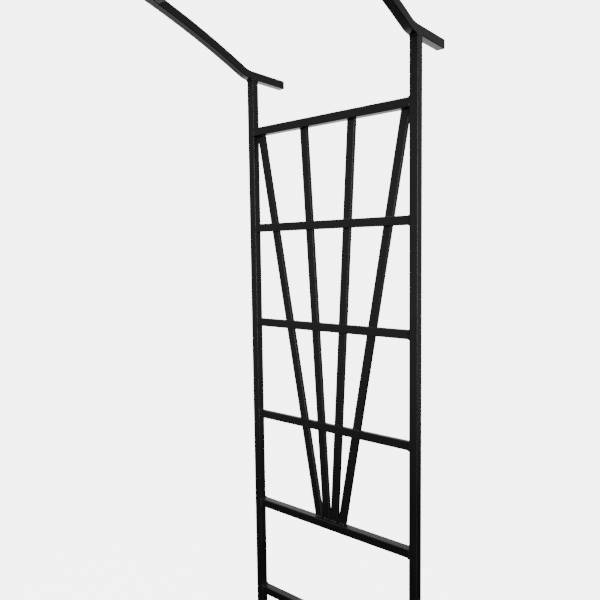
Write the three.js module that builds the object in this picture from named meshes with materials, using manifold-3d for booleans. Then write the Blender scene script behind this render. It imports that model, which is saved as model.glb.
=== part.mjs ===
// Walk-through garden trellis arch in welded square steel tube.
// Millimetres, +Z up. X runs across the opening, Y runs along the path under the arch.
// The origin is on the ground, midway between the two side panels.
import * as THREE from 'three';
import { mergeVertices } from 'three/addons/utils/BufferGeometryUtils.js';
import Module from 'manifold-3d';

// ---- Driving dimensions ----------------------------------------------------------------

// Whole arch
const openingWidth = 2133.6;      // clear width between the two side panels
const panelDepth = 609.6;         // front of the front post to back of the rear post
const postHeight = 2133.6;        // ground to the underside of the arch bars
const overhang = 127;             // arch bar end past the outer face of the post
const crownRise = 215.9;          // rise of the arch bars from post top to crown
const bendRadius = 90;            // upward bend of the arch bar's centreline beside the post

// Square tube of the posts, rails and arch bars
const tubeSize = 25.4;
const tubeWall = 1.6;
const tubeCorner = 2.2;

// Slim tube of the fan bars and the rungs that they pass behind
const slimDepth = 12.5;           // thickness, half of the square tube
const slimWall = 1.2;
const slimCorner = 1.6;

// Side panels
const rungCount = 7;              // cross members of one panel, top rail included
const topRailDrop = 165.1;        // post top to the top rail's centre
const bottomRungHeight = 139.7;    // ground to the bottom rung's centre
const slimRungCount = 3;          // slim rungs under the top rail
const fanBarCount = 4;
const fanPostGap = 6;             // outer fan bar to the post, under the top rail
const fanFootGap = 3;             // fan bar to fan bar, on the foot rail

// Roof
const roofRungCount = 5;

// Plugs in the open tube ends
const plugFlange = 3;             // thickness of the visible cap
const plugStem = 16;              // length inside the tube
const plugHollow = 3;             // wall of the hollow stem
const plugPocketCorner = 1.1;     // inside corners of the hollow stem
const plugClearance = 0.3;        // stem to the inside of the tube

// Fit-up gap at every welded joint
const weldGap = 0.3;

// How finely the curves are cut
const cornerSegments = 1;           // an arc is cut into twice as many facets
const bendSegments = 5;
const crownSegments = 30;

// Numbers that leave the shape alone
const leanPasses = 12;              // rounds in which a fan bar's lean settles
const samePoint = 1e-4;             // corners closer than this are one corner
const cutPast = 1;                  // a cutting solid runs this far out of the open end

// ---- Sizes that follow from them -------------------------------------------------------

const halfTube = tubeSize / 2;
const postX = openingWidth / 2 + halfTube;
const postY = panelDepth / 2 - halfTube;
const innerDepth = panelDepth - 2 * tubeSize;
const crossLength = innerDepth - 2 * weldGap;

const topRailHeight = postHeight - topRailDrop;
const rungPitch = (topRailHeight - bottomRungHeight) / (rungCount - 1);
const rungHeight = (index) => topRailHeight - index * rungPitch;
const footRailIndex = slimRungCount + 1;

// The centreline of an arch bar: a straight overhang in one step, a bend of bendRadius that
// starts at the post's inner face, and one arc over the crown that is tangent to both bends.
const archLevel = postHeight + halfTube;
const archEndX = postX + halfTube + overhang - plugFlange;
const bendX = postX - halfTube;
const crownRadius = (bendX ** 2 + crownRise ** 2) / (2 * crownRise) - bendRadius;
const crownCentreZ = archLevel + crownRise - crownRadius;
const crownAngle = Math.asin(bendX / (crownRadius + bendRadius));

// ---- Materials -------------------------------------------------------------------------

const powderCoat = () => new THREE.MeshStandardMaterial({ color: 0x121312, roughness: 0.42, metalness: 0.2 });
const blackPlastic = () => new THREE.MeshStandardMaterial({ color: 0x161616, roughness: 0.65, metalness: 0 });

// ---- Sections and helpers --------------------------------------------------------------

// An outline with rounded corners, centred on the origin.
function roundedOutline(Outline, width, height, radius) {
  const x = width / 2 - radius;
  const y = height / 2 - radius;
  const outline = new Outline();
  outline.absarc(x, y, radius, 0, Math.PI / 2);
  outline.absarc(-x, y, radius, Math.PI / 2, Math.PI);
  outline.absarc(-x, -y, radius, Math.PI, 1.5 * Math.PI);
  outline.absarc(x, -y, radius, 1.5 * Math.PI, 2 * Math.PI);
  outline.closePath();
  return outline;
}

// The cross-section of a tube with an even wall.
function tubeSection(width, height, wall, corner) {
  const section = roundedOutline(THREE.Shape, width, height, corner);
  const bore = roundedOutline(THREE.Path, width - 2 * wall, height - 2 * wall, corner - wall / 2);
  section.holes.push(bore);
  return section;
}

const squareSection = () => tubeSection(tubeSize, tubeSize, tubeWall, tubeCorner);

const slimSection = (width) => tubeSection(slimDepth, width, slimWall, slimCorner);

// A straight length along +Z, standing on z = 0.
function straightLength(section, length) {
  return new THREE.ExtrudeGeometry(section, {
    depth: length, bevelEnabled: false, curveSegments: cornerSegments,
  });
}

// A straight length turned to lie along Y, centred on the origin.
function crossLengthAlongY(section) {
  const geometry = straightLength(section, crossLength);
  geometry.translate(0, 0, -crossLength / 2);
  geometry.rotateX(Math.PI / 2);
  return geometry;
}

const arch = new THREE.Group();
arch.name = 'trellis_arch';

function addPiece(name, geometry, material, parent = arch) {
  const mesh = new THREE.Mesh(geometry, material);
  mesh.name = name;
  parent.add(mesh);
  return mesh;
}

// ---- Side panels -----------------------------------------------------------------------

// How far a fan bar leans, found from the width it then takes up along Y at both ends.
function fanSpread() {
  const height = (footRailIndex * rungPitch) - tubeSize - 2 * weldGap;
  let lean = 0;
  let spread;
  for (let pass = 0; pass < leanPasses; pass += 1) {
    const widthAlongY = tubeSize / Math.cos(lean);
    const topOuter = innerDepth / 2 - fanPostGap - widthAlongY / 2;
    const topPitch = 2 * topOuter / (fanBarCount - 1);
    const footPitch = widthAlongY + fanFootGap;
    lean = Math.atan((topPitch - footPitch) * (fanBarCount - 1) / 2 / height);
    spread = { height, topPitch, footPitch };
  }
  return spread;
}

// A fan bar stands on the foot rail and leans in the plane of the panel. Both of its ends are
// cut level, so it is an upright length sheared sideways.
function fanBar(index) {
  const { height, topPitch, footPitch } = fanSpread();
  const place = index - (fanBarCount - 1) / 2;
  const slope = place * (topPitch - footPitch) / height;
  const widthAlongY = tubeSize * Math.hypot(1, slope);
  const geometry = straightLength(slimSection(widthAlongY), height);
  geometry.applyMatrix4(new THREE.Matrix4().makeShear(0, 0, 0, 0, 0, slope));
  geometry.translate(0, place * footPitch, 0);
  return geometry;
}

function sidePanel(sideName, side) {
  const panel = new THREE.Group();
  panel.name = `${sideName}_panel`;
  panel.position.x = side * postX;
  arch.add(panel);

  for (const [endName, end] of [['front', -1], ['rear', 1]]) {
    const post = addPiece(`${sideName}_${endName}_post`,
      straightLength(squareSection(), postHeight - plugFlange - weldGap), powderCoat(), panel);
    post.position.set(0, end * postY, plugFlange);
  }

  // Slim rungs are flush with the posts' inner faces, and the fan bars pass behind them.
  const slimRungX = -side * (halfTube - slimDepth / 2);
  const fanBarX = slimRungX + side * (slimDepth + weldGap);
  const fullRungNames = new Map([[0, 'top_rail'], [footRailIndex, 'fan_foot_rail']]);
  for (let index = 0; index < rungCount; index += 1) {
    const slim = index > 0 && index <= slimRungCount;
    const lowRung = `lower_rung_${index - footRailIndex}`;
    const name = slim ? `slim_rung_${index}` : fullRungNames.get(index) ?? lowRung;
    const section = slim ? slimSection(tubeSize) : squareSection();
    const rung = addPiece(`${sideName}_${name}`, crossLengthAlongY(section), powderCoat(), panel);
    rung.position.set(slim ? slimRungX : 0, 0, rungHeight(index));
  }

  const fanBase = rungHeight(footRailIndex) + halfTube + weldGap;
  for (let index = 0; index < fanBarCount; index += 1) {
    const bar = addPiece(`${sideName}_fan_bar_${index + 1}`, fanBar(index), powderCoat(), panel);
    bar.position.set(fanBarX, 0, fanBase);
  }
}

// ---- Arch bars and roof ----------------------------------------------------------------

// The arch bar's centreline in the XZ plane, from the left end to the right end. Its parameter
// runs evenly over the steps of the five stretches, not over the length.
class ArchCentreline extends THREE.Curve {
  constructor() {
    super();
    const oneSide = 1 + bendSegments + crownSegments / 2;
    this.steps = 2 * oneSide;
  }

  getUtoTmapping(u) {
    return u;
  }

  getPoint(t, target = new THREE.Vector3()) {
    const step = (t - 0.5) * this.steps;
    const side = Math.sign(step) || 1;
    const fromCrown = Math.abs(step) - crownSegments / 2;
    if (fromCrown <= 0) {
      const angle = crownAngle * (step / (crownSegments / 2));
      return target.set(crownRadius * Math.sin(angle), 0, crownCentreZ + crownRadius * Math.cos(angle));
    }
    if (fromCrown <= bendSegments) {
      const angle = crownAngle * (1 - fromCrown / bendSegments);
      const x = bendX - bendRadius * Math.sin(angle);
      return target.set(side * x, 0, archLevel + bendRadius * (1 - Math.cos(angle)));
    }
    const along = fromCrown - bendSegments;
    return target.set(side * (bendX + along * (archEndX - bendX)), 0, archLevel);
  }
}

function archBar(endName, end) {
  const centreline = new ArchCentreline();
  const geometry = new THREE.ExtrudeGeometry(squareSection(), {
    steps: centreline.steps, extrudePath: centreline, bevelEnabled: false, curveSegments: cornerSegments,
  });
  const bar = addPiece(`${endName}_arch_bar`, geometry, powderCoat());
  bar.position.y = end * postY;
}

// Roof rungs share the crown between them in equal bays, each square to the arch bars.
function roofRungs() {
  for (let index = 1; index <= roofRungCount; index += 1) {
    const angle = crownAngle * (2 * index / (roofRungCount + 1) - 1);
    const rung = addPiece(`roof_rung_${index}`, crossLengthAlongY(squareSection()), powderCoat());
    rung.position.set(crownRadius * Math.sin(angle), 0, crownCentreZ + crownRadius * Math.cos(angle));
    rung.rotation.y = angle;
  }
}

// ---- Plugs -----------------------------------------------------------------------------

const wasm = await Module();
wasm.setup();

function toManifold(geometry) {
  const bare = geometry.clone();
  bare.deleteAttribute('normal');
  bare.deleteAttribute('uv');
  const merged = mergeVertices(bare, samePoint);
  return new wasm.Manifold(new wasm.Mesh({
    numProp: 3,
    vertProperties: new Float32Array(merged.attributes.position.array),
    triVerts: new Uint32Array(merged.index.array),
  }));
}

function toGeometry(solid) {
  const mesh = solid.getMesh();
  const geometry = new THREE.BufferGeometry();
  geometry.setAttribute('position', new THREE.BufferAttribute(new Float32Array(mesh.vertProperties), 3));
  geometry.setIndex(new THREE.BufferAttribute(new Uint32Array(mesh.triVerts), 1));
  geometry.computeVertexNormals();
  return geometry;
}

// A plug with its cap from z = 0 up and its hollow stem above that.
function plug() {
  const boreSize = tubeSize - 2 * tubeWall;
  const stemSize = boreSize - 2 * plugClearance;
  const cap = straightLength(roundedOutline(THREE.Shape, tubeSize, tubeSize, tubeCorner), plugFlange - weldGap);
  const stemSection = roundedOutline(THREE.Shape, stemSize, stemSize, tubeCorner);
  const stemBore = stemSize - 2 * plugHollow;
  const overlap = plugFlange / 2;
  const stem = straightLength(stemSection, plugStem + overlap);
  stem.translate(0, 0, plugFlange - overlap);
  const pocketSection = roundedOutline(THREE.Shape, stemBore, stemBore, plugPocketCorner);
  const pocket = straightLength(pocketSection, plugStem + cutPast);
  pocket.translate(0, 0, plugFlange);
  return toGeometry(toManifold(cap).add(toManifold(stem)).subtract(toManifold(pocket)));
}

function plugs() {
  for (const [sideName, side] of [['left', -1], ['right', 1]]) {
    for (const [endName, end] of [['front', -1], ['rear', 1]]) {
      const foot = addPiece(`${sideName}_${endName}_foot_plug`, plug(), blackPlastic());
      foot.position.set(side * postX, end * postY, 0);
      const cap = addPiece(`${sideName}_${endName}_arch_end_plug`, plug(), blackPlastic());
      cap.position.set(side * (archEndX + plugFlange), end * postY, archLevel);
      cap.rotation.y = -side * Math.PI / 2;
    }
  }
}

// ---- The assembly ----------------------------------------------------------------------

sidePanel('left', -1);
sidePanel('right', 1);
archBar('front', -1);
archBar('rear', 1);
roofRungs();
plugs();

export default arch;
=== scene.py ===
"""Looks of a walk-through trellis arch in welded, black powder-coated square steel tube.

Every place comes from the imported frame. Lengths are in metres, with X across the walkway,
Y along it and Z up.
"""

from __future__ import annotations

import logging
import math
import random
from collections.abc import Iterable, Sequence
from dataclasses import dataclass, field
from enum import Enum
from typing import Any

import bmesh
import bpy
from mathutils import Matrix, Vector


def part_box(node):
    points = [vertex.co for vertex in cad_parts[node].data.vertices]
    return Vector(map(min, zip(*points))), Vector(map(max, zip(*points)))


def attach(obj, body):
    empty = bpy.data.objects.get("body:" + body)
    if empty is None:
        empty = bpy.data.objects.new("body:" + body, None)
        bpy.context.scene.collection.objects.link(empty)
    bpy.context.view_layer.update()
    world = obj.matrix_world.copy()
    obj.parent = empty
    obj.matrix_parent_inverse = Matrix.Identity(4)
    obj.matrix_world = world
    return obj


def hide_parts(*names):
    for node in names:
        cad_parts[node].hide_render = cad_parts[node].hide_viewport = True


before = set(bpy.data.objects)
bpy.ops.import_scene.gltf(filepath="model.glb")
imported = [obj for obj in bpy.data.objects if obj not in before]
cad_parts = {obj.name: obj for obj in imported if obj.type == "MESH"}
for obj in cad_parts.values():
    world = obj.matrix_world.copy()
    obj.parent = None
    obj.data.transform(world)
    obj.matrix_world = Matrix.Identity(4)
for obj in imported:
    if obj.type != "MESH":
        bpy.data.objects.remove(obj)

log = logging.getLogger("trellis_arch")

Vec = tuple[float, float, float]
X, Y, Z = Vector((1, 0, 0)), Vector((0, 1, 0)), Vector((0, 0, 1))

THIN_COAT = "thin_coat"  # mesh attribute, 1 on the rounded corners where the coat is thin
SAME_PLACE = 1e-6  # points closer than this are one point
DRAWN = 0.02  # scale of the draw-line pattern along a tube, against 1 across it
UNDRAWN: Vec = (1.0, 1.0, 1.0)  # the pattern's scales where nothing was drawn
MIDTONES = (0.3, 0.7)  # the range that nearly all of a noise pattern lies in
POLYMER_IOR = 1.5  # of the powder coat and the plugs' plastic alike


# ---- Named options ---------------------------------------------------------------------


class Side(Enum):
    """Side panels, by the sign of X where they stand."""

    LEFT = -1
    RIGHT = 1

    @property
    def tag(self) -> str:
        """The word for this side in piece names."""
        return self.name.lower()


class End(Enum):
    """Ends of the walkway, by the sign of Y where they are."""

    FRONT = -1
    REAR = 1

    @property
    def tag(self) -> str:
        """The word for this end in piece names."""
        return self.name.lower()


class Run(Enum):
    """The way a tube runs. Draw lines are stretched along it by these pattern scales."""

    UPRIGHT = (1.0, 1.0, DRAWN)
    ACROSS_PANEL = (1.0, DRAWN, 1.0)
    OVERHEAD = (DRAWN, 1.0, 1.0)


class Slot(Enum):
    """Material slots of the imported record."""

    STEEL = "powder_coated_steel"
    PLASTIC = "plug_plastic"


# ---- Finishes --------------------------------------------------------------------------


class NodeBench:
    """A node tree, with short calls that set out nodes and wire them."""

    def __init__(self, owner: bpy.types.Material | bpy.types.World) -> None:
        """Clear a node tree for work.

        Args:
            owner: The material or the world that the tree belongs to.
        """
        owner.use_nodes = True
        self.owner = owner
        self.tree = owner.node_tree
        self.tree.nodes.clear()

    def feed(self, kind: str, output: str, settings: dict[str, Any] | None = None,
             **inputs: Any) -> bpy.types.NodeSocket:
        """Add a node, set it up and wire its inputs.

        Args:
            kind: The node's type name.
            output: Name of the output socket to hand back.
            settings: Properties of the node itself.
            **inputs: A value or a socket for each input, by identifier or by name, with
                an underscore for each space.

        Returns:
            The named output socket.
        """
        node = self.tree.nodes.new(kind)
        for key, value in (settings or {}).items():
            setattr(node, key, value)
        for key, value in inputs.items():
            socket = next(s for s in node.inputs
                          if s.identifier == key or s.name == key.replace("_", " "))
            if isinstance(value, bpy.types.NodeSocket):
                self.tree.links.new(value, socket)
            else:
                socket.default_value = value
        return node.outputs[output]

    def combine(self, operation: str, first: Any, second: Any) -> bpy.types.NodeSocket:
        """Combine two numbers.

        Args:
            operation: The math node's operation.
            first: A number or a socket.
            second: A number or a socket.

        Returns:
            The result's socket.
        """
        return self.feed("ShaderNodeMath", "Value", {"operation": operation},
                         Value=first, Value_001=second)

    def remap(self, value: Any, low: float, high: float, to_low: float, to_high: float,
              curve: str = "LINEAR") -> bpy.types.NodeSocket:
        """Stretch a range of a value over another range.

        Args:
            value: A number or a socket.
            low: Where the range starts.
            high: Where it ends.
            to_low: Result at and below the start.
            to_high: Result at and above the end.
            curve: How the result runs between them.

        Returns:
            The result's socket.
        """
        return self.feed("ShaderNodeMapRange", "Result", {"interpolation_type": curve},
                         Value=value, From_Min=low, From_Max=high, To_Min=to_low, To_Max=to_high)

    def noise(self, place: bpy.types.NodeSocket, scale: float, detail: float,
              roughness: float = 0.5) -> bpy.types.NodeSocket:
        """Lay out a noise pattern.

        Args:
            place: The position that it reads.
            scale: How many of its patches lie in a metre.
            detail: How many finer layers lie in it.
            roughness: How strong the finer layers are.

        Returns:
            The pattern's socket, from 0 to 1.
        """
        return self.feed("ShaderNodeTexNoise", "Fac", Vector=place, Scale=scale, Detail=detail,
                         Roughness=roughness)

    def bump(self, height: bpy.types.NodeSocket, depth: float,
             **under: bpy.types.NodeSocket) -> bpy.types.NodeSocket:
        """Raise a pattern on the surface.

        Args:
            height: The pattern.
            depth: How high its full value stands.
            **under: As Normal, the bump that it lies over.

        Returns:
            The bent normal's socket.
        """
        return self.feed("ShaderNodeBump", "Normal", Height=height, Strength=1.0, Distance=depth,
                         **under)

    def blend(self, share: Any, first: Any, second: Any) -> bpy.types.NodeSocket:
        """Mix two colours.

        Args:
            share: How much of the second colour, from 0 to 1.
            first: A colour or a socket.
            second: A colour or a socket.

        Returns:
            The result's socket.
        """
        node = self.tree.nodes.new("ShaderNodeMix")
        node.data_type = "RGBA"
        by_id = {socket.identifier: socket for socket in [*node.inputs, *node.outputs]}
        for key, value in (("Factor_Float", share), ("A_Color", first), ("B_Color", second)):
            if isinstance(value, bpy.types.NodeSocket):
                self.tree.links.new(value, by_id[key])
            else:
                by_id[key].default_value = value
        return by_id["Result_Color"]

    def close(self, kind: str, shader: bpy.types.NodeSocket) -> None:
        """End the tree in an output node of that kind, fed by the shader."""
        output = self.tree.nodes.new(kind)
        self.tree.links.new(shader, output.inputs["Surface"])


def new_bench(name: str) -> NodeBench:
    """Return a bench for a new material of that name."""
    return NodeBench(bpy.data.materials.new(name))


@dataclass(frozen=True)
class PowderCoat:
    """Black powder coat: orange peel over faint draw lines, thinner on the tube corners.

    It is a little darker and duller in broad clouds, and a little dust lies on top faces. Each
    where is the stretch of the cloud pattern over which a change comes in, and each cover is the
    most that the change hides of the plain coat.
    """

    black: Vec = (0.0075, 0.0077, 0.0074)
    darkening: float = 0.6
    dark_cover: float = 0.35
    thin: Vec = (0.022, 0.022, 0.021)
    thin_where: tuple[float, float] = (0.35, 0.62)
    thin_least: float = 0.25
    dust: Vec = (0.075, 0.07, 0.062)
    dust_slope: float = 0.6
    dust_cover: float = 0.12
    dust_least: float = 0.4
    dust_dulling: float = 0.5
    gloss_roughness: float = 0.23
    matt_roughness: float = 0.36
    gloss_where: tuple[float, float] = (0.32, 0.68)
    streak: float = 0.03
    specular: float = 0.45
    cloud_scale: float = 9.0
    line_scale: float = 230.0
    line_depth: float = 0.00005
    peel_size: float = 0.0024
    peel_depth: float = 0.00007
    speck_scale: float = 900.0
    speck_share: float = 0.2
    weld_peel: float = 2.0
    weld_gloss: float = 0.06

    def on_tube(self, run: Run) -> bpy.types.Material:
        """Return the coat for a tube that runs that way."""
        return self._coat(f"powder_coat_{run.name.lower()}", run.value, self.peel_depth)

    def on_weld(self) -> bpy.types.Material:
        """Return the coat as it lies over weld beads, lumpier and a little glossier."""
        return self._coat("powder_coat_on_weld", UNDRAWN, self.weld_peel * self.peel_depth,
                          self.weld_gloss)

    def _coat(self, name: str, stretch: Vec, peel_depth: float,
              extra_gloss: float = 0.0) -> bpy.types.Material:
        """Set out the coat's nodes.

        Args:
            name: The material's name.
            stretch: Scale of the draw-line pattern on each axis.
            peel_depth: Depth of the orange peel.
            extra_gloss: How much this coat's roughness is below the plain coat's.

        Returns:
            The finished material.
        """
        bench = new_bench(name)
        place = bench.feed("ShaderNodeTexCoord", "Object")
        drawn = bench.feed("ShaderNodeMapping", "Vector", Vector=place, Scale=stretch)
        peel = bench.noise(place, 1 / self.peel_size, detail=2.0, roughness=0.45)
        lines = bench.noise(drawn, self.line_scale, detail=3.0, roughness=0.6)
        clouds = bench.noise(place, self.cloud_scale, detail=5.0, roughness=0.6)
        specks = bench.noise(place, self.speck_scale, detail=1.0)

        corner = bench.feed("ShaderNodeAttribute", "Fac", {"attribute_name": THIN_COAT})
        rubbed = bench.combine("MULTIPLY", corner,
                               bench.remap(clouds, *self.thin_where, self.thin_least, 1.0))
        upward = bench.feed("ShaderNodeSeparateXYZ", "Z",
                            Vector=bench.feed("ShaderNodeNewGeometry", "Normal"))
        settled = bench.combine("MULTIPLY",
                                bench.remap(upward, self.dust_slope, 1.0, 0.0, self.dust_cover),
                                bench.remap(clouds, *MIDTONES, self.dust_least, 1.0))

        darker = (*(self.darkening * channel for channel in self.black), 1.0)
        black = bench.blend(bench.remap(clouds, *MIDTONES, 0.0, self.dark_cover),
                            (*self.black, 1.0), darker)
        coated = bench.blend(rubbed, black, (*self.thin, 1.0))
        dusty = bench.blend(settled, coated, (*self.dust, 1.0))

        sheen = bench.remap(clouds, *self.gloss_where, self.gloss_roughness - extra_gloss,
                            self.matt_roughness - extra_gloss)
        streaked = bench.combine("ADD", sheen,
                                 bench.remap(lines, *MIDTONES, -self.streak, self.streak))
        dulled = bench.combine("MULTIPLY", settled, self.dust_dulling)
        roughness = bench.combine("ADD", streaked, dulled)

        drawn_bump = bench.bump(lines, self.line_depth)
        peel_bump = bench.bump(peel, peel_depth, Normal=drawn_bump)
        speck_bump = bench.bump(specks, self.speck_share * peel_depth, Normal=peel_bump)
        bench.close("ShaderNodeOutputMaterial", bench.feed(
            "ShaderNodeBsdfPrincipled", "BSDF", Base_Color=dusty, Roughness=roughness,
            Normal=speck_bump, Specular_IOR_Level=self.specular, IOR=POLYMER_IOR))
        return bench.owner


@dataclass(frozen=True)
class PlugPlastic:
    """Black moulded polyethylene with a fine spark-eroded grain."""

    black: Vec = (0.010, 0.010, 0.010)
    scuffed: Vec = (0.035, 0.034, 0.033)
    scuff_where: tuple[float, float] = (0.45, 0.65)
    cloud_scale: float = 140.0
    roughness: float = 0.5
    smoother: float = 0.06
    rougher: float = 0.08
    specular: float = 0.4
    grain_size: float = 0.0006
    grain_depth: float = 0.00005

    def moulded(self) -> bpy.types.Material:
        """Set out the plastic's nodes.

        Returns:
            The finished material.
        """
        bench = new_bench("plug_plastic_moulded")
        place = bench.feed("ShaderNodeTexCoord", "Object")
        grain = bench.feed("ShaderNodeTexVoronoi", "Distance", Vector=place,
                           Scale=1 / self.grain_size, Randomness=1.0)
        clouds = bench.noise(place, self.cloud_scale, detail=4.0, roughness=0.6)
        corner = bench.feed("ShaderNodeAttribute", "Fac", {"attribute_name": THIN_COAT})
        scuffs = bench.combine("MULTIPLY", corner,
                               bench.remap(clouds, *self.scuff_where, 0.0, 1.0))
        colour = bench.blend(scuffs, (*self.black, 1.0), (*self.scuffed, 1.0))
        roughness = bench.remap(clouds, *MIDTONES, self.roughness - self.smoother,
                                self.roughness + self.rougher)
        bump = bench.bump(grain, self.grain_depth)
        bench.close("ShaderNodeOutputMaterial", bench.feed(
            "ShaderNodeBsdfPrincipled", "BSDF", Base_Color=colour, Roughness=roughness,
            Normal=bump, Specular_IOR_Level=self.specular, IOR=POLYMER_IOR))
        return bench.owner


@dataclass
class PaintShop:
    """Every finish on the arch, made once and shared by the pieces."""

    coat: PowderCoat = PowderCoat()
    plastic: PlugPlastic = PlugPlastic()
    tube: dict[Run, bpy.types.Material] = field(init=False)
    weld: bpy.types.Material = field(init=False)
    plug: bpy.types.Material = field(init=False)

    def __post_init__(self) -> None:
        """Mix the finishes."""
        self.tube = {run: self.coat.on_tube(run) for run in Run}
        self.weld = self.coat.on_weld()
        self.plug = self.plastic.moulded()


# ---- Mesh work shared by the pieces ----------------------------------------------------


def elements(geometry: Iterable[Any], kind: type) -> list[Any]:
    """Return the elements of that bmesh kind out of an operator's answer."""
    return [element for element in geometry if isinstance(element, kind)]


@dataclass
class Workpiece:
    """A named piece of the visual model and what it stands for in the frame."""

    name: str
    material: bpy.types.Material
    slot: Slot
    stands_for: tuple[str, ...] = ()
    crease: float = math.radians(32)
    even_shading: bool = True
    face_weight: int = 100

    def finish(self, bm: bmesh.types.BMesh) -> None:
        """Turn a finished mesh into an object at the origin that rides with the frame.

        Args:
            bm: The mesh, where it stands on the arch. It is freed.
        """
        bmesh.ops.remove_doubles(bm, verts=bm.verts[:], dist=SAME_PLACE)
        bmesh.ops.recalc_face_normals(bm, faces=bm.faces[:])
        for face in bm.faces:
            face.smooth = True
        for edge in bm.edges:
            edge.smooth = edge.calc_face_angle(0.0) < self.crease
        mesh = bpy.data.meshes.new(self.name)
        bm.to_mesh(mesh)
        bm.free()
        mesh.materials.append(self.material)
        piece = bpy.data.objects.new(self.name, mesh)
        bpy.context.scene.collection.objects.link(piece)
        if self.even_shading:
            shading = piece.modifiers.new("flat faces stay flat", "WEIGHTED_NORMAL")
            shading.weight = self.face_weight
            shading.keep_sharp = True
        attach(piece, "root")
        if self.stands_for:
            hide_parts(*self.stands_for)
        log.info("%s: %d faces", self.name, len(mesh.polygons))


@dataclass(frozen=True)
class TubeSection:
    """A rectangular tube section with rounded corners, flat on XY about the origin."""

    width: float
    depth: float
    wall: float
    corner: float
    corner_steps: int = 6

    def outline(self, bm: bmesh.types.BMesh) -> list[bmesh.types.BMFace]:
        """Lay the outer outline out as one flat face, with its corners marked.

        Args:
            bm: An empty bmesh.

        Returns:
            The face, in a list.
        """
        thin_coat = bm.verts.layers.float.new(THIN_COAT)
        blank = bmesh.ops.create_grid(bm, x_segments=1, y_segments=1, size=0.5)["verts"]
        bmesh.ops.scale(bm, vec=(self.width, self.depth, 1.0), verts=blank)
        bmesh.ops.bevel(bm, geom=blank, offset=self.corner, offset_type="OFFSET",
                        affect="VERTICES", segments=self.corner_steps, profile=0.5, material=-1)
        arc_rise = self.corner * (1 - math.sqrt(0.5))
        for vert in bm.verts:
            from_flats = min(self.width / 2 - abs(vert.co.x), self.depth / 2 - abs(vert.co.y))
            vert[thin_coat] = max(0.0, from_flats / arc_rise)
        return bm.faces[:]

    def ring(self, bm: bmesh.types.BMesh) -> list[bmesh.types.BMFace]:
        """Lay the section out as a flat ring of faces, one wall thick.

        Args:
            bm: An empty bmesh.

        Returns:
            The faces of the ring.
        """
        plate = self.outline(bm)
        bmesh.ops.inset_region(bm, faces=plate, thickness=self.wall,
                               use_even_offset=True, use_boundary=True)
        bmesh.ops.delete(bm, geom=plate, context="FACES_ONLY")
        return bm.faces[:]


def draw_out(bm: bmesh.types.BMesh, faces: list[bmesh.types.BMFace],
             along: Vector) -> list[bmesh.types.BMFace]:
    """Draw flat faces out into a straight length.

    Args:
        bm: The mesh they belong to.
        faces: The faces at the near end.
        along: Direction and length of the draw.

    Returns:
        The faces at the far end.
    """
    grown = bmesh.ops.extrude_face_region(bm, geom=faces)["geom"]
    bmesh.ops.translate(bm, vec=along, verts=elements(grown, bmesh.types.BMVert))
    return elements(grown, bmesh.types.BMFace)


def roll(bm: bmesh.types.BMesh, faces: list[bmesh.types.BMFace], centre: Vector, angle: float,
         steps: int) -> list[bmesh.types.BMFace]:
    """Roll a tube's end on round an axis along Y.

    Args:
        bm: The mesh they belong to.
        faces: The faces at the tube's end.
        centre: A point on the axis.
        angle: How far to turn.
        steps: Number of rings that the bend is cut into.

    Returns:
        The faces at the tube's new end.
    """
    grown = bmesh.ops.spin(bm, geom=faces, cent=centre, axis=Y, angle=angle, steps=steps,
                           use_merge=False, use_duplicate=False)["geom_last"]
    return elements(grown, bmesh.types.BMFace)


# ---- Welds -----------------------------------------------------------------------------


@dataclass(frozen=True)
class Ring:
    """One ring of a weld bead: its centre, the way the bead runs, the way it faces."""

    centre: Vector
    run: Vector
    out: Vector
    radius: float

    def placing(self) -> Matrix:
        """Return the matrix that takes a unit circle on XY to this ring."""
        turn = Matrix((self.out.cross(self.run), self.out, -self.run)).transposed().to_4x4()
        return Matrix.Translation(self.centre) @ turn @ Matrix.Scale(self.radius, 4)


@dataclass(frozen=True)
class JointFit:
    """How a tube's square end meets the other tube, and where its weld starts.

    Every direction is the arch's own. The bead lies deeper where both tubes run on flush. It
    swells on the full side, and leaves a lump at the corner where the torch starts.
    """

    flush: tuple[Vector, ...] = ()
    flush_bite: float = 0.0018
    full_side: Vector = field(default_factory=Vector)
    start: Vector = field(default_factory=Vector)


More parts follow.
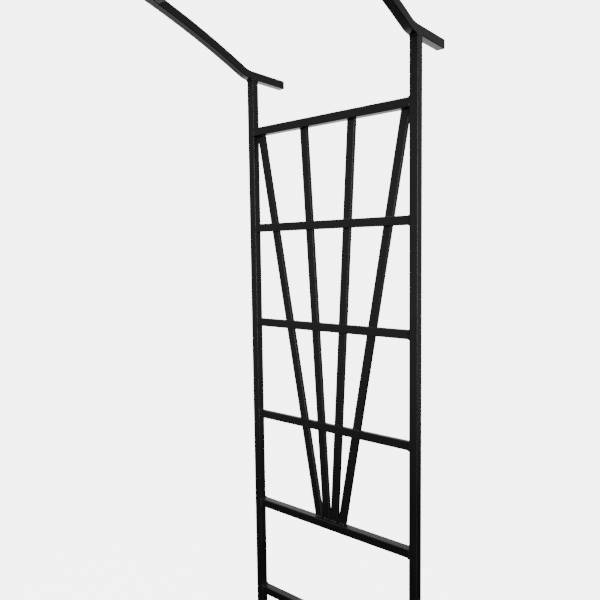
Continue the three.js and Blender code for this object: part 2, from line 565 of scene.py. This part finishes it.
@dataclass(frozen=True)
class WeldTorch:
    """Lays beads with the torch's ripples, uneven as a hand leaves them.

    Lumps, swells and unevenness are shares of the bead's plain radius, and the tremor is the
    share of the unevenness that changes from ring to ring. Along a short bead, the lump's place
    and spread are shares of its length.
    """

    radius: float = 0.0031
    sides: int = 10
    ripple: float = 0.0022
    rings_per_ripple: int = 4
    ripple_depth: float = 0.13
    unevenness: float = 0.09
    tremor: float = 0.25
    pass_count: int = 12
    fillet_bite: float = 0.0006
    swell: float = 0.20
    start_lump: float = 0.30
    start_length: float = 0.0030
    least_steps: int = 2
    least_rings: int = 6
    tack_lump: float = 0.45
    tack_place: float = 0.12
    tack_spread: float = 0.1
    end_power: int = 5
    end_least: float = 0.04

    def _size(self, hand: random.Random, ring: int) -> float:
        """Work out how thick a bead is at a ring.

        Args:
            hand: Source of the bead's unevenness.
            ring: The ring's number along the bead.

        Returns:
            The bead's radius, as a share of its plain radius.
        """
        phase = (ring % self.rings_per_ripple) / self.rings_per_ripple
        crest = math.sin(math.pi * (phase + 0.5 / self.rings_per_ripple))
        tremor = hand.uniform(-self.tremor, self.tremor) * self.unevenness
        return 1 - self.ripple_depth * (1 - crest) + tremor

    def _sweep(self, bm: bmesh.types.BMesh, rings: Sequence[Ring], closed: bool) -> None:
        """Sweep a bead through its rings.

        Args:
            bm: The mesh to add the bead to.
            rings: The rings in order.
            closed: Whether the bead meets its own start. If not, its ends are capped.
        """
        placing = rings[0].placing()
        start = bmesh.ops.create_circle(bm, segments=self.sides, radius=1.0,
                                        matrix=placing)["verts"]
        first = last = list({edge for vert in start for edge in vert.link_edges})
        for ring in rings[1:]:
            grown = bmesh.ops.extrude_edge_only(bm, edges=last)["geom"]
            verts = elements(grown, bmesh.types.BMVert)
            fresh = set(verts)
            last = [edge for edge in elements(grown, bmesh.types.BMEdge)
                    if fresh.issuperset(edge.verts)]
            bmesh.ops.transform(bm, matrix=ring.placing() @ placing.inverted(), verts=verts)
            placing = ring.placing()
        if closed:
            bmesh.ops.bridge_loops(bm, edges=first + last)
        else:
            bmesh.ops.holes_fill(bm, edges=first + last, sides=self.sides)

    def round_joint(self, bm: bmesh.types.BMesh, section: TubeSection, plane: Matrix,
                    fit: JointFit, hand: random.Random) -> None:
        """Weld all round a tube where its square end meets a face.

        Args:
            bm: The mesh to add the bead to.
            section: The tube's section.
            plane: Takes the section's XY plane to the joint, with Z out of the face.
            fit: How the two tubes meet.
            hand: Source of the bead's unevenness.
        """
        across, deep, corner = section.width / 2, section.depth / 2, section.corner
        start = plane.translation + across * fit.start
        spacing = self.ripple / self.rings_per_ripple
        stretches = []
        for quarter in range(4):
            straight = 2 * ((deep if quarter % 2 == 0 else across) - corner)
            stretches += [(quarter, False, straight), (quarter, True, corner * math.pi / 2)]
        wobble = [hand.uniform(-1, 1) * self.unevenness for _ in range(self.pass_count)]
        rings = []
        for quarter, bend, length in stretches:
            heading = quarter * math.pi / 2
            reach, half = ((across, deep) if quarter % 2 == 0 else (deep, across))
            steps = max(self.least_steps, round(length / spacing))
            for step in range(steps):
                share = step / steps
                turn = heading + (share * math.pi / 2 if bend else 0.0)
                local_out = Vector((math.cos(heading), math.sin(heading), 0))
                local_on = Vector((-local_out.y, local_out.x, 0))
                facing = Vector((math.cos(turn), math.sin(turn), 0))
                if bend:
                    at = ((reach - corner) * local_out + (half - corner) * local_on
                          + corner * facing)
                else:
                    at = reach * local_out + ((2 * share - 1) * (half - corner)) * local_on
                out = plane.to_3x3() @ facing
                level = max([0.0, *(out.dot(way) for way in fit.flush)]) ** 2
                bite = self.fillet_bite + level * (fit.flush_bite - self.fillet_bite)
                lump = wobble[int(self.pass_count * turn / math.tau) % self.pass_count]
                lump += self.swell * max(0.0, out.dot(fit.full_side)) ** 2
                if fit.start.length:
                    away = (plane @ at - start).length / self.start_length
                    lump += self.start_lump * math.exp(-away ** 2)
                size = self.radius * (self._size(hand, len(rings)) + lump)
                run = plane.to_3x3() @ Vector((-facing.y, facing.x, 0))
                rings.append(Ring(plane @ at - bite * out, run, out, size))
        self._sweep(bm, rings, closed=True)

    def along_corner(self, bm: bmesh.types.BMesh, start: Vector, stop: Vector, out: Vector,
                     fullness: float, hand: random.Random) -> None:
        """Weld along an inside corner between two faces.

        Args:
            bm: The mesh to add the bead to.
            start: Where the torch starts, which leaves a lump.
            stop: Where it stops.
            out: The way the bead faces, halfway between the two faces.
            fullness: The bead's radius, as a share of the torch's plain radius.
            hand: Source of the bead's unevenness.
        """
        run = (stop - start).normalized()
        count = max(self.least_rings,
                    round((stop - start).length / self.ripple * self.rings_per_ripple))
        rings = []
        for ring in range(count + 1):
            share = ring / count
            ends = math.sqrt(max(self.end_least, 1 - abs(2 * share - 1) ** self.end_power))
            away = (share - self.tack_place) / self.tack_spread
            lump = 1 + self.tack_lump * math.exp(-away ** 2)
            size = fullness * self.radius * self._size(hand, ring) * ends * lump
            rings.append(Ring(start.lerp(stop, share) - self.fillet_bite * out, run, out, size))
        self._sweep(bm, rings, closed=False)


# ---- Side panels -----------------------------------------------------------------------


@dataclass
class SidePanel:
    """One side panel: two posts, seven rungs and a fan of four bars, welded together."""

    side: Side
    shop: PaintShop
    torch: WeldTorch = WeldTorch()
    wall: float = 0.0016
    corner: float = 0.0022
    slim_wall: float = 0.0012
    slim_corner: float = 0.0016
    full_rungs: tuple[str, ...] = ("top_rail", "fan_foot_rail", "lower_rung_1", "lower_rung_2")
    slim_rungs: tuple[str, ...] = ("slim_rung_1", "slim_rung_2", "slim_rung_3")
    fan_bars: tuple[int, ...] = (1, 2, 3, 4)
    flush_within: float = 0.001
    post_top_bite: float = 0.0024
    rung_bite: float = 0.0005
    tack_length: float = 0.017
    tack_range: tuple[float, float] = (0.85, 1.05)
    tack_bead: float = 0.78
    foot_bead: float = 1.0

    def build(self) -> None:
        """Build and dress every piece of the panel."""
        for end in End:
            self.post(end)
            self.post_top_weld(end)
        for rung in self.full_rungs:
            self.rung(rung, self.wall, self.corner)
        for rung in self.slim_rungs:
            self.rung(rung, self.slim_wall, self.slim_corner)
        for number in self.fan_bars:
            self.fan_bar(number)

    def node(self, part: str) -> str:
        """Return the full node name of one of the panel's parts."""
        return f"{self.side.tag}_{part}"

    def post(self, end: End) -> None:
        """Build a post, an upright length of square tube.

        Args:
            end: The end of the walkway that it stands at.
        """
        node = self.node(f"{end.tag}_post")
        low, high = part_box(node)
        middle, size = (low + high) / 2, high - low
        bm = bmesh.new()
        ring = TubeSection(size.x, size.y, self.wall, self.corner).ring(bm)
        draw_out(bm, ring, size.z * Z)
        bmesh.ops.translate(bm, vec=(middle.x, middle.y, low.z), verts=bm.verts[:])
        Workpiece(f"{node}_tube", self.shop.tube[Run.UPRIGHT], Slot.STEEL, (node,)).finish(bm)

    def post_top_weld(self, end: End) -> None:
        """Weld round a post's top, where it meets the arch bar.

        Args:
            end: The end of the walkway that the post stands at.
        """
        low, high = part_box(self.node(f"{end.tag}_post"))
        size = high - low
        section = TubeSection(size.x, size.y, self.wall, self.corner)
        name = self.node(f"{end.tag}_post_top_weld")
        plane = Matrix.Translation(((low.x + high.x) / 2, (low.y + high.y) / 2, high.z))
        walkway = -self.side.value * X
        fit = JointFit((-Y, Y), self.post_top_bite, walkway, walkway + end.value * Y)
        bm = bmesh.new()
        self.torch.round_joint(bm, section, plane, fit, random.Random(name))
        Workpiece(name, self.shop.weld, Slot.STEEL, even_shading=False).finish(bm)

    def rung(self, part: str, wall: float, corner: float) -> None:
        """Build a rung between the posts, and the welds round its two ends.

        Args:
            part: The rung's name within the panel.
            wall: Wall thickness of its tube.
            corner: Outer corner radius of its tube.
        """
        node = self.node(part)
        low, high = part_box(node)
        middle, size = (low + high) / 2, high - low
        section = TubeSection(size.x, size.z, wall, corner)
        to_world = Matrix.Translation((middle.x, low.y, middle.z)) @ Matrix.Rotation(
            -math.pi / 2, 4, "X")
        bm = bmesh.new()
        draw_out(bm, section.ring(bm), size.y * Z)
        bmesh.ops.transform(bm, matrix=to_world, verts=bm.verts[:])
        Workpiece(f"{node}_tube", self.shop.tube[Run.ACROSS_PANEL], Slot.STEEL, (node,)).finish(bm)

        post_low, post_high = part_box(self.node("front_post"))
        flush = tuple(way for way, gap in ((-X, low.x - post_low.x), (X, post_high.x - high.x))
                      if abs(gap) < self.flush_within)
        name = f"{node}_welds"
        hand = random.Random(name)
        bm = bmesh.new()
        for reach in (0.0, size.y):
            plane = to_world @ Matrix.Translation((0, 0, reach))
            self.torch.round_joint(bm, section, plane, JointFit(flush, self.rung_bite), hand)
        Workpiece(name, self.shop.weld, Slot.STEEL, even_shading=False).finish(bm)

    def fan_bar(self, number: int) -> None:
        """Build a fan bar with level cuts at both ends, and its welds.

        Args:
            number: The bar's number, from the front.
        """
        node = self.node(f"fan_bar_{number}")
        low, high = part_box(node)
        size = high - low
        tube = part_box(self.node("top_rail"))
        face = tube[1].z - tube[0].z
        # The bar's extent along Y is its sloped width plus its lean, which gives the lean.
        a, b, c = size.z ** 2 - face ** 2, size.y * size.z, size.y ** 2 - face ** 2
        lean = math.copysign((b - math.sqrt(b ** 2 - a * c)) / a, low.y + high.y)
        width = face * math.hypot(1, lean)
        foot = Vector(((low.x + high.x) / 2, (low.y + high.y - lean * size.z) / 2, low.z))
        bm = bmesh.new()
        ring = TubeSection(size.x, width, self.slim_wall, self.slim_corner).ring(bm)
        draw_out(bm, ring, Vector((0, lean * size.z, size.z)))
        bmesh.ops.translate(bm, vec=foot, verts=bm.verts[:])
        Workpiece(f"{node}_tube", self.shop.tube[Run.UPRIGHT], Slot.STEEL, (node,)).finish(bm)

        # Beads lie on the bar's walkway face: at its foot, its top and each crossing.
        inward = -self.side.value
        face_x = foot.x + inward * size.x / 2
        flat = width - 2 * self.slim_corner
        beads = [(low.z, 1, flat, self.foot_bead), (high.z, -1, flat, self.tack_bead)]
        for rung in self.slim_rungs:
            rung_low, rung_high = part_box(self.node(rung))
            beads += [(rung_high.z, 1, self.tack_length, self.tack_bead),
                      (rung_low.z, -1, self.tack_length, self.tack_bead)]
        name = f"{node}_welds"
        hand = random.Random(name)
        bm = bmesh.new()
        for height, facing, length, fullness in beads:
            centre = Vector((face_x, foot.y + lean * (height - low.z), height))
            half = length / 2 * hand.uniform(*self.tack_range) * Y
            out = Vector((inward, 0, facing)).normalized()
            self.torch.along_corner(bm, centre + half, centre - half, out, fullness, hand)
        Workpiece(name, self.shop.weld, Slot.STEEL, even_shading=False).finish(bm)


# ---- Arch and roof ---------------------------------------------------------------------


@dataclass
class Roof:
    """The two arch bars, bent up beside the posts and rolled over the crown, and the rungs."""

    shop: PaintShop
    torch: WeldTorch = WeldTorch()
    wall: float = 0.0016
    corner: float = 0.0022
    bend_radius: float = 0.09
    bend_steps: int = 16
    crown_steps: int = 140
    rungs: tuple[int, ...] = (1, 2, 3, 4, 5)
    tube: float = field(init=False)
    level: float = field(init=False)
    reach: float = field(init=False)
    bend_x: float = field(init=False)
    crown_radius: float = field(init=False)
    crown_centre: float = field(init=False)
    crown_angle: float = field(init=False)
    section: TubeSection = field(init=False)

    def __post_init__(self) -> None:
        """Work out the arch's curve from the frame."""
        low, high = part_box("front_arch_bar")
        self.tube = high.y - low.y
        self.level = low.z + self.tube / 2
        self.reach = high.x
        self.bend_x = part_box("right_front_post")[0].x
        rise = high.z - low.z - self.tube
        self.crown_radius = (self.bend_x ** 2 + rise ** 2) / (2 * rise) - self.bend_radius
        self.crown_centre = self.level + rise - self.crown_radius
        self.crown_angle = math.asin(self.bend_x / (self.crown_radius + self.bend_radius))
        self.section = TubeSection(self.tube, self.tube, self.wall, self.corner)

    def build(self) -> None:
        """Build and dress the arch bars and the roof rungs."""
        for end in End:
            self.arch_bar(end)
        for number in self.rungs:
            self.roof_rung(number)

    def arch_bar(self, end: End) -> None:
        """Bend one arch bar from its left end to its right end.

        Args:
            end: The end of the walkway that it spans.
        """
        node = f"{end.tag}_arch_bar"
        low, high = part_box(node)
        bm = bmesh.new()
        ring = self.section.ring(bm)
        to_start = Matrix.Translation((low.x, (low.y + high.y) / 2, self.level))
        bmesh.ops.transform(bm, matrix=to_start @ Matrix.Rotation(math.pi / 2, 4, "Y"),
                            verts=bm.verts[:])
        overhang = (self.reach - self.bend_x) * X
        left = Vector((-self.bend_x, 0, self.level + self.bend_radius))
        crown = Vector((0, 0, self.crown_centre))
        right = Vector((self.bend_x, 0, self.level + self.bend_radius))
        ring = draw_out(bm, ring, overhang)
        ring = roll(bm, ring, left, -self.crown_angle, self.bend_steps)
        ring = roll(bm, ring, crown, 2 * self.crown_angle, self.crown_steps)
        ring = roll(bm, ring, right, -self.crown_angle, self.bend_steps)
        draw_out(bm, ring, overhang)
        Workpiece(f"{node}_tube", self.shop.tube[Run.OVERHEAD], Slot.STEEL, (node,)).finish(bm)

    def roof_rung(self, number: int) -> None:
        """Build a roof rung square to the arch bars, and the welds round its two ends.

        Args:
            number: The rung's number, from the left.
        """
        node = f"roof_rung_{number}"
        low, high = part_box(node)
        middle = (low + high) / 2
        tilt = math.atan2(middle.x, middle.z - self.crown_centre)
        length = high.y - low.y
        to_world = (Matrix.Translation((middle.x, low.y, middle.z)) @ Matrix.Rotation(tilt, 4, "Y")
                    @ Matrix.Rotation(-math.pi / 2, 4, "X"))
        bm = bmesh.new()
        draw_out(bm, self.section.ring(bm), length * Z)
        bmesh.ops.transform(bm, matrix=to_world, verts=bm.verts[:])
        Workpiece(f"{node}_tube", self.shop.tube[Run.ACROSS_PANEL], Slot.STEEL, (node,)).finish(bm)

        name = f"{node}_welds"
        hand = random.Random(name)
        up = to_world.to_3x3() @ Vector((0, -1, 0))
        bm = bmesh.new()
        for reach in (0.0, length):
            plane = to_world @ Matrix.Translation((0, 0, reach))
            self.torch.round_joint(bm, self.section, plane, JointFit((up, -up)), hand)
        Workpiece(name, self.shop.weld, Slot.STEEL, even_shading=False).finish(bm)


# ---- Plugs -----------------------------------------------------------------------------


@dataclass
class TubePlugs:
    """Ribbed plastic plugs in the feet of the posts and the ends of the arch bars."""

    shop: PaintShop
    tube_wall: float = 0.0016
    corner: float = 0.0022
    cap: float = 0.0027
    rim: float = 0.0009
    rim_steps: int = 4
    stem_wall: float = 0.0022
    clearance: float = 0.0003
    ribs: int = 4
    rib_foot: float = 0.35
    rib_land: float = 0.65
    groove: float = 0.94

    def build(self) -> None:
        """Build and dress all eight plugs."""
        for side in Side:
            for end in End:
                self.plug(f"{side.tag}_{end.tag}_foot_plug", Z)
                self.plug(f"{side.tag}_{end.tag}_arch_end_plug", -side.value * X)

    def plug(self, node: str, inward: Vector) -> None:
        """Build one plug.

        Args:
            node: The plug's CAD node.
            inward: The way from the plug's cap into the tube.
        """
        low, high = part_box(node)
        size = high - low
        length = abs(size.dot(inward))
        width = max(size.x, size.y) if inward.z else size.y
        middle = (low + high) / 2
        bm = bmesh.new()
        plate = TubeSection(width, width, self.tube_wall, self.corner).outline(bm)
        inner = draw_out(bm, plate, self.cap * Z)
        rim = [edge for edge in bm.edges
               if all(abs(vert.co.z) < SAME_PLACE for vert in edge.verts)]
        bmesh.ops.bevel(bm, geom=rim, offset=self.rim, offset_type="OFFSET", affect="EDGES",
                        segments=self.rim_steps, profile=0.5, material=-1, clamp_overlap=True)
        self.stem(bm, inner, length)
        turn = Z.rotation_difference(inward).to_matrix().to_4x4()
        outer = middle - length / 2 * inward
        bmesh.ops.transform(bm, matrix=Matrix.Translation(outer) @ turn, verts=bm.verts[:])
        Workpiece(f"{node}_moulding", self.shop.plug, Slot.PLASTIC, (node,)).finish(bm)

    def stem(self, bm: bmesh.types.BMesh, face: list[bmesh.types.BMFace], length: float) -> None:
        """Raise the ribbed, hollow stem off the cap's inner face.

        Args:
            bm: The plug's mesh, with its cap on z = 0.
            face: The cap's inner face.
            length: The plug's whole length.
        """
        step = (length - self.cap) / (2 * self.ribs + 1)
        bmesh.ops.inset_region(bm, faces=face, use_boundary=True,
                               thickness=self.tube_wall + self.clearance)
        for ring in range(2 * self.ribs + 1):
            face = draw_out(bm, face, self.rib_foot * step * Z)
            scale = self.groove if ring % 2 == 0 else 1 / self.groove
            verts = list({vert for part in face for vert in part.verts})
            bmesh.ops.scale(bm, vec=(scale, scale, 1.0), verts=verts)
            face = draw_out(bm, face, self.rib_land * step * Z)
        bmesh.ops.inset_region(bm, faces=face, thickness=self.stem_wall, use_boundary=True)
        draw_out(bm, face, (self.cap - length) * Z)


# ---- Studio ----------------------------------------------------------------------------


@dataclass(frozen=True)
class SoftBox:
    """A large soft lamp that faces a point on the arch."""

    name: str
    place: Vec
    aim: Vec
    width: float
    height: float
    power: float

    def hang(self) -> None:
        """Hang the lamp."""
        lamp = bpy.data.lights.new(self.name, "AREA")
        lamp.shape = "RECTANGLE"
        lamp.size, lamp.size_y = self.width, self.height
        lamp.energy = self.power
        stand = bpy.data.objects.new(self.name, lamp)
        stand.location = self.place
        aim = Vector(self.aim) - Vector(self.place)
        stand.rotation_euler = aim.to_track_quat("-Z", "Y").to_euler()
        stand.visible_camera = False
        bpy.context.scene.collection.objects.link(stand)


@dataclass(frozen=True)
class Glow:
    """A soft patch of light far off in one direction, full in its core and gone at its edge.

    The core and the edge are given in degrees from its middle.
    """

    towards: Vec
    core: float
    edge: float
    light: float

    def shine(self, bench: NodeBench, way: bpy.types.NodeSocket) -> bpy.types.NodeSocket:
        """Work out the patch's light in every direction.

        Args:
            bench: The bench of the world that it shines in.
            way: The direction looked in.

        Returns:
            The light's socket.
        """
        ahead = bench.feed("ShaderNodeVectorMath", "Value", {"operation": "DOT_PRODUCT"},
                           Vector=way, Vector_001=self.towards)
        edge, core = (math.cos(math.radians(angle)) for angle in (self.edge, self.core))
        return bench.remap(ahead, edge, core, 0.0, self.light, "SMOOTHSTEP")


@dataclass(frozen=True)
class Viewpoint:
    """Where a visitor stands on the path and how they look at the arch.

    The angles are in degrees, and the lens and its sensor in millimetres.
    """

    eye: Vec = (-0.3152, -1.0476, 1.5788)
    heading: float = 50.380
    down: float = 4.498
    roll: float = 0.780
    lens: float = 35.18
    sensor: float = 36.0

    def set_up(self) -> None:
        """Set the camera up and make it the scene's."""
        heading, down, roll = map(math.radians, (self.heading, self.down, self.roll))
        ahead = Vector((math.sin(heading) * math.cos(down), math.cos(heading) * math.cos(down),
                        -math.sin(down)))
        right = Vector((math.cos(heading), -math.sin(heading), 0))
        below = ahead.cross(right)
        across = math.cos(roll) * right + math.sin(roll) * below
        under = math.cos(roll) * below - math.sin(roll) * right
        turn = Matrix((across, -under, -ahead)).transposed().to_4x4()
        data = bpy.data.cameras.new("visitor_eye")
        data.sensor_width = self.sensor
        data.lens = self.lens
        camera = bpy.data.objects.new("visitor_eye", data)
        camera.matrix_world = Matrix.Translation(self.eye) @ turn
        bpy.context.scene.collection.objects.link(camera)
        bpy.context.scene.camera = camera


@dataclass
class Studio:
    """A pale floor that runs into a pale backdrop, under large soft lamps."""

    floor_size: float = 80.0
    floor_dark: Vec = (0.86, 0.86, 0.86)
    floor_pale: Vec = (0.90, 0.90, 0.90)
    floor_grain: float = 3.0
    floor_roughness: float = 0.9
    floor_specular: float = 0.1
    lit_glow: float = 5.0
    lit_out_to: float = 1.5
    far_glow: float = 5.2
    far_from: float = 9.0
    backdrop: float = 7.0
    side_light: float = 0.43
    floor_light: float = 0.002
    pale_down_to: float = -0.22
    dark_from: float = -0.36
    glows: tuple[Glow, ...] = (
        Glow(towards=(0.70, 0.70, -0.12), core=0.0, edge=45.0, light=1.8),
        Glow(towards=(0.45, 0.72, -0.53), core=14.0, edge=27.0, light=0.7),
        Glow(towards=(-0.95, 0.31, -0.02), core=0.0, edge=25.0, light=0.26),
    )
    boxes: tuple[SoftBox, ...] = (
        SoftBox("key_box", place=(-2.8, -4.4, 1.9), aim=(1.0, 0.0, 1.3),
                width=2.0, height=3.2, power=245.0),
        SoftBox("overhead_box", place=(0.4, 0.4, 5.0), aim=(0.4, 0.0, 0.0),
                width=3.0, height=3.0, power=110.0),
    )

    def build(self) -> None:
        """Lay the floor, light the set and set the camera up."""
        self.floor()
        self.air()
        for box in self.boxes:
            box.hang()
        Viewpoint().set_up()

    def floor(self) -> None:
        """Lay the floor, which glows more further out so that it meets the backdrop unseen."""
        bench = new_bench("pale_floor")
        place = bench.feed("ShaderNodeTexCoord", "Object")
        grain = bench.noise(place, self.floor_grain, detail=6.0)
        tone = bench.blend(grain, (*self.floor_dark, 1.0), (*self.floor_pale, 1.0))
        out = bench.feed("ShaderNodeVectorMath", "Value", {"operation": "LENGTH"}, Vector=place)
        glow = bench.remap(out, self.lit_out_to, self.far_from, self.lit_glow, self.far_glow,
                           "SMOOTHSTEP")
        bench.close("ShaderNodeOutputMaterial", bench.feed(
            "ShaderNodeBsdfPrincipled", "BSDF", Base_Color=tone, Roughness=self.floor_roughness,
            Specular_IOR_Level=self.floor_specular, Emission_Color=(1.0, 1.0, 1.0, 1.0),
            Emission_Strength=glow))
        bm = bmesh.new()
        bmesh.ops.create_grid(bm, x_segments=1, y_segments=1, size=self.floor_size / 2)
        mesh = bpy.data.meshes.new("studio_floor")
        bm.to_mesh(mesh)
        bm.free()
        mesh.materials.append(bench.owner)
        floor = bpy.data.objects.new("studio_floor", mesh)
        floor.visible_glossy = False
        floor.visible_diffuse = False
        bpy.context.scene.collection.objects.link(floor)

    def air(self) -> None:
        """Set the soft light from all round: bright beyond the arch, dark along the ground."""
        world = bpy.data.worlds.new("studio_air")
        bpy.context.scene.world = world
        bench = NodeBench(world)
        way = bench.feed("ShaderNodeTexCoord", "Generated")
        up = bench.feed("ShaderNodeSeparateXYZ", "Z", Vector=way)
        light = bench.remap(up, self.dark_from, self.pale_down_to, self.floor_light,
                            self.side_light, "SMOOTHSTEP")
        for glow in self.glows:
            light = bench.combine("ADD", light, glow.shine(bench, way))
        soft = bench.feed("ShaderNodeBackground", "Background", Strength=light)
        pale = bench.feed("ShaderNodeBackground", "Background", Strength=self.backdrop)
        seen = bench.feed("ShaderNodeLightPath", "Is Camera Ray")
        bench.close("ShaderNodeOutputWorld", bench.feed(
            "ShaderNodeMixShader", "Shader", Fac=seen, Shader=soft, Shader_001=pale))


# ---- The scene -------------------------------------------------------------------------


def main() -> None:
    """Build the arch piece by piece and set the studio up round it."""
    logging.basicConfig(level=logging.INFO, format="%(name)s %(message)s")
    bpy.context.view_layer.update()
    shop = PaintShop()
    for side in Side:
        SidePanel(side, shop).build()
    Roof(shop).build()
    TubePlugs(shop).build()
    Studio().build()


if __name__ == "__main__":
    main()
